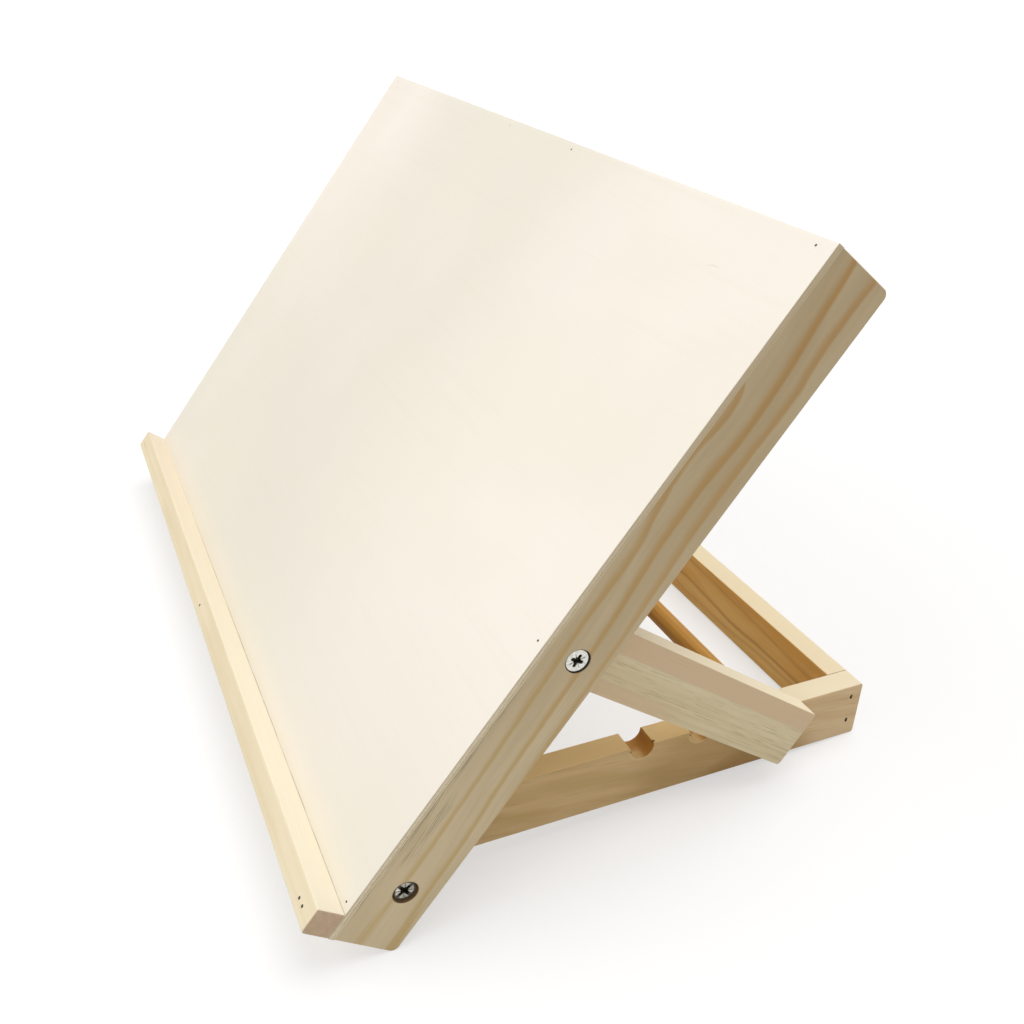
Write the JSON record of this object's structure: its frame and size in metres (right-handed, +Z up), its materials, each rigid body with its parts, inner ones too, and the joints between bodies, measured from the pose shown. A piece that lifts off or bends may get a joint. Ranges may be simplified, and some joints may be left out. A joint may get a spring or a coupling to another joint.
{
  "type": "tabletop drawing easel",
  "caption": "Tabletop wooden drawing board on a folding easel stand: a plywood panel with a paper ledge, propped at a set slope by a dowel bar in notched base rails.",
  "frame": {"origin": "middle of the footprint's box, on the table that the easel stands on", "axes": "+X across the board to the user's right, +Y from the user to the back, +Z up"},
  "size_m": [0.458, 0.2812, 0.2577],
  "materials": {
    "plywood": "fine sanded pale plywood, bare",
    "frame_pine": "planed pine with orange growth rings, bare",
    "ledge_pine": "planed pale pine, bare",
    "prop_pine": "planed straight-grained pine, bare",
    "base_pine": "planed pine, bare",
    "dowel_wood": "turned dowel, bare",
    "zinc_steel": "zinc-plated",
    "pin_steel": "dull wire"
  },
  "bodies": {
    "base": {"left_base_rail": "base_pine", "right_base_rail": "base_pine", "rear_cross_rail": "base_pine", "base_nails": "pin_steel", "left_pivot_spacer": "base_pine", "right_pivot_spacer": "base_pine", "left_base_screw": "zinc_steel", "right_base_screw": "zinc_steel"},
    "board": {"drawing_panel": "plywood", "left_side_rail": "frame_pine", "right_side_rail": "frame_pine", "top_rail": "frame_pine", "bottom_rail": "frame_pine", "paper_ledge": "ledge_pine", "panel_pins": "pin_steel", "ledge_pins": "pin_steel", "corner_dowels": "dowel_wood"},
    "prop": {"left_prop_arm": "prop_pine", "right_prop_arm": "prop_pine", "prop_dowel": "dowel_wood", "left_prop_screw": "zinc_steel", "right_prop_screw": "zinc_steel"}
  },
  "joints": [
    {"name": "board_tilt", "type": "hinge", "parent": "base", "child": "board", "pos_m": [0, -0.0998, 0.02982], "axis": [1, 0, 0], "range_deg": [0, 36.71]},
    {"name": "prop_swing", "type": "hinge", "parent": "board", "child": "prop", "pos_m": [0, -0.02631, 0.11632], "axis": [1, 0, 0], "range_deg": [0, 87.93]}
  ]
}
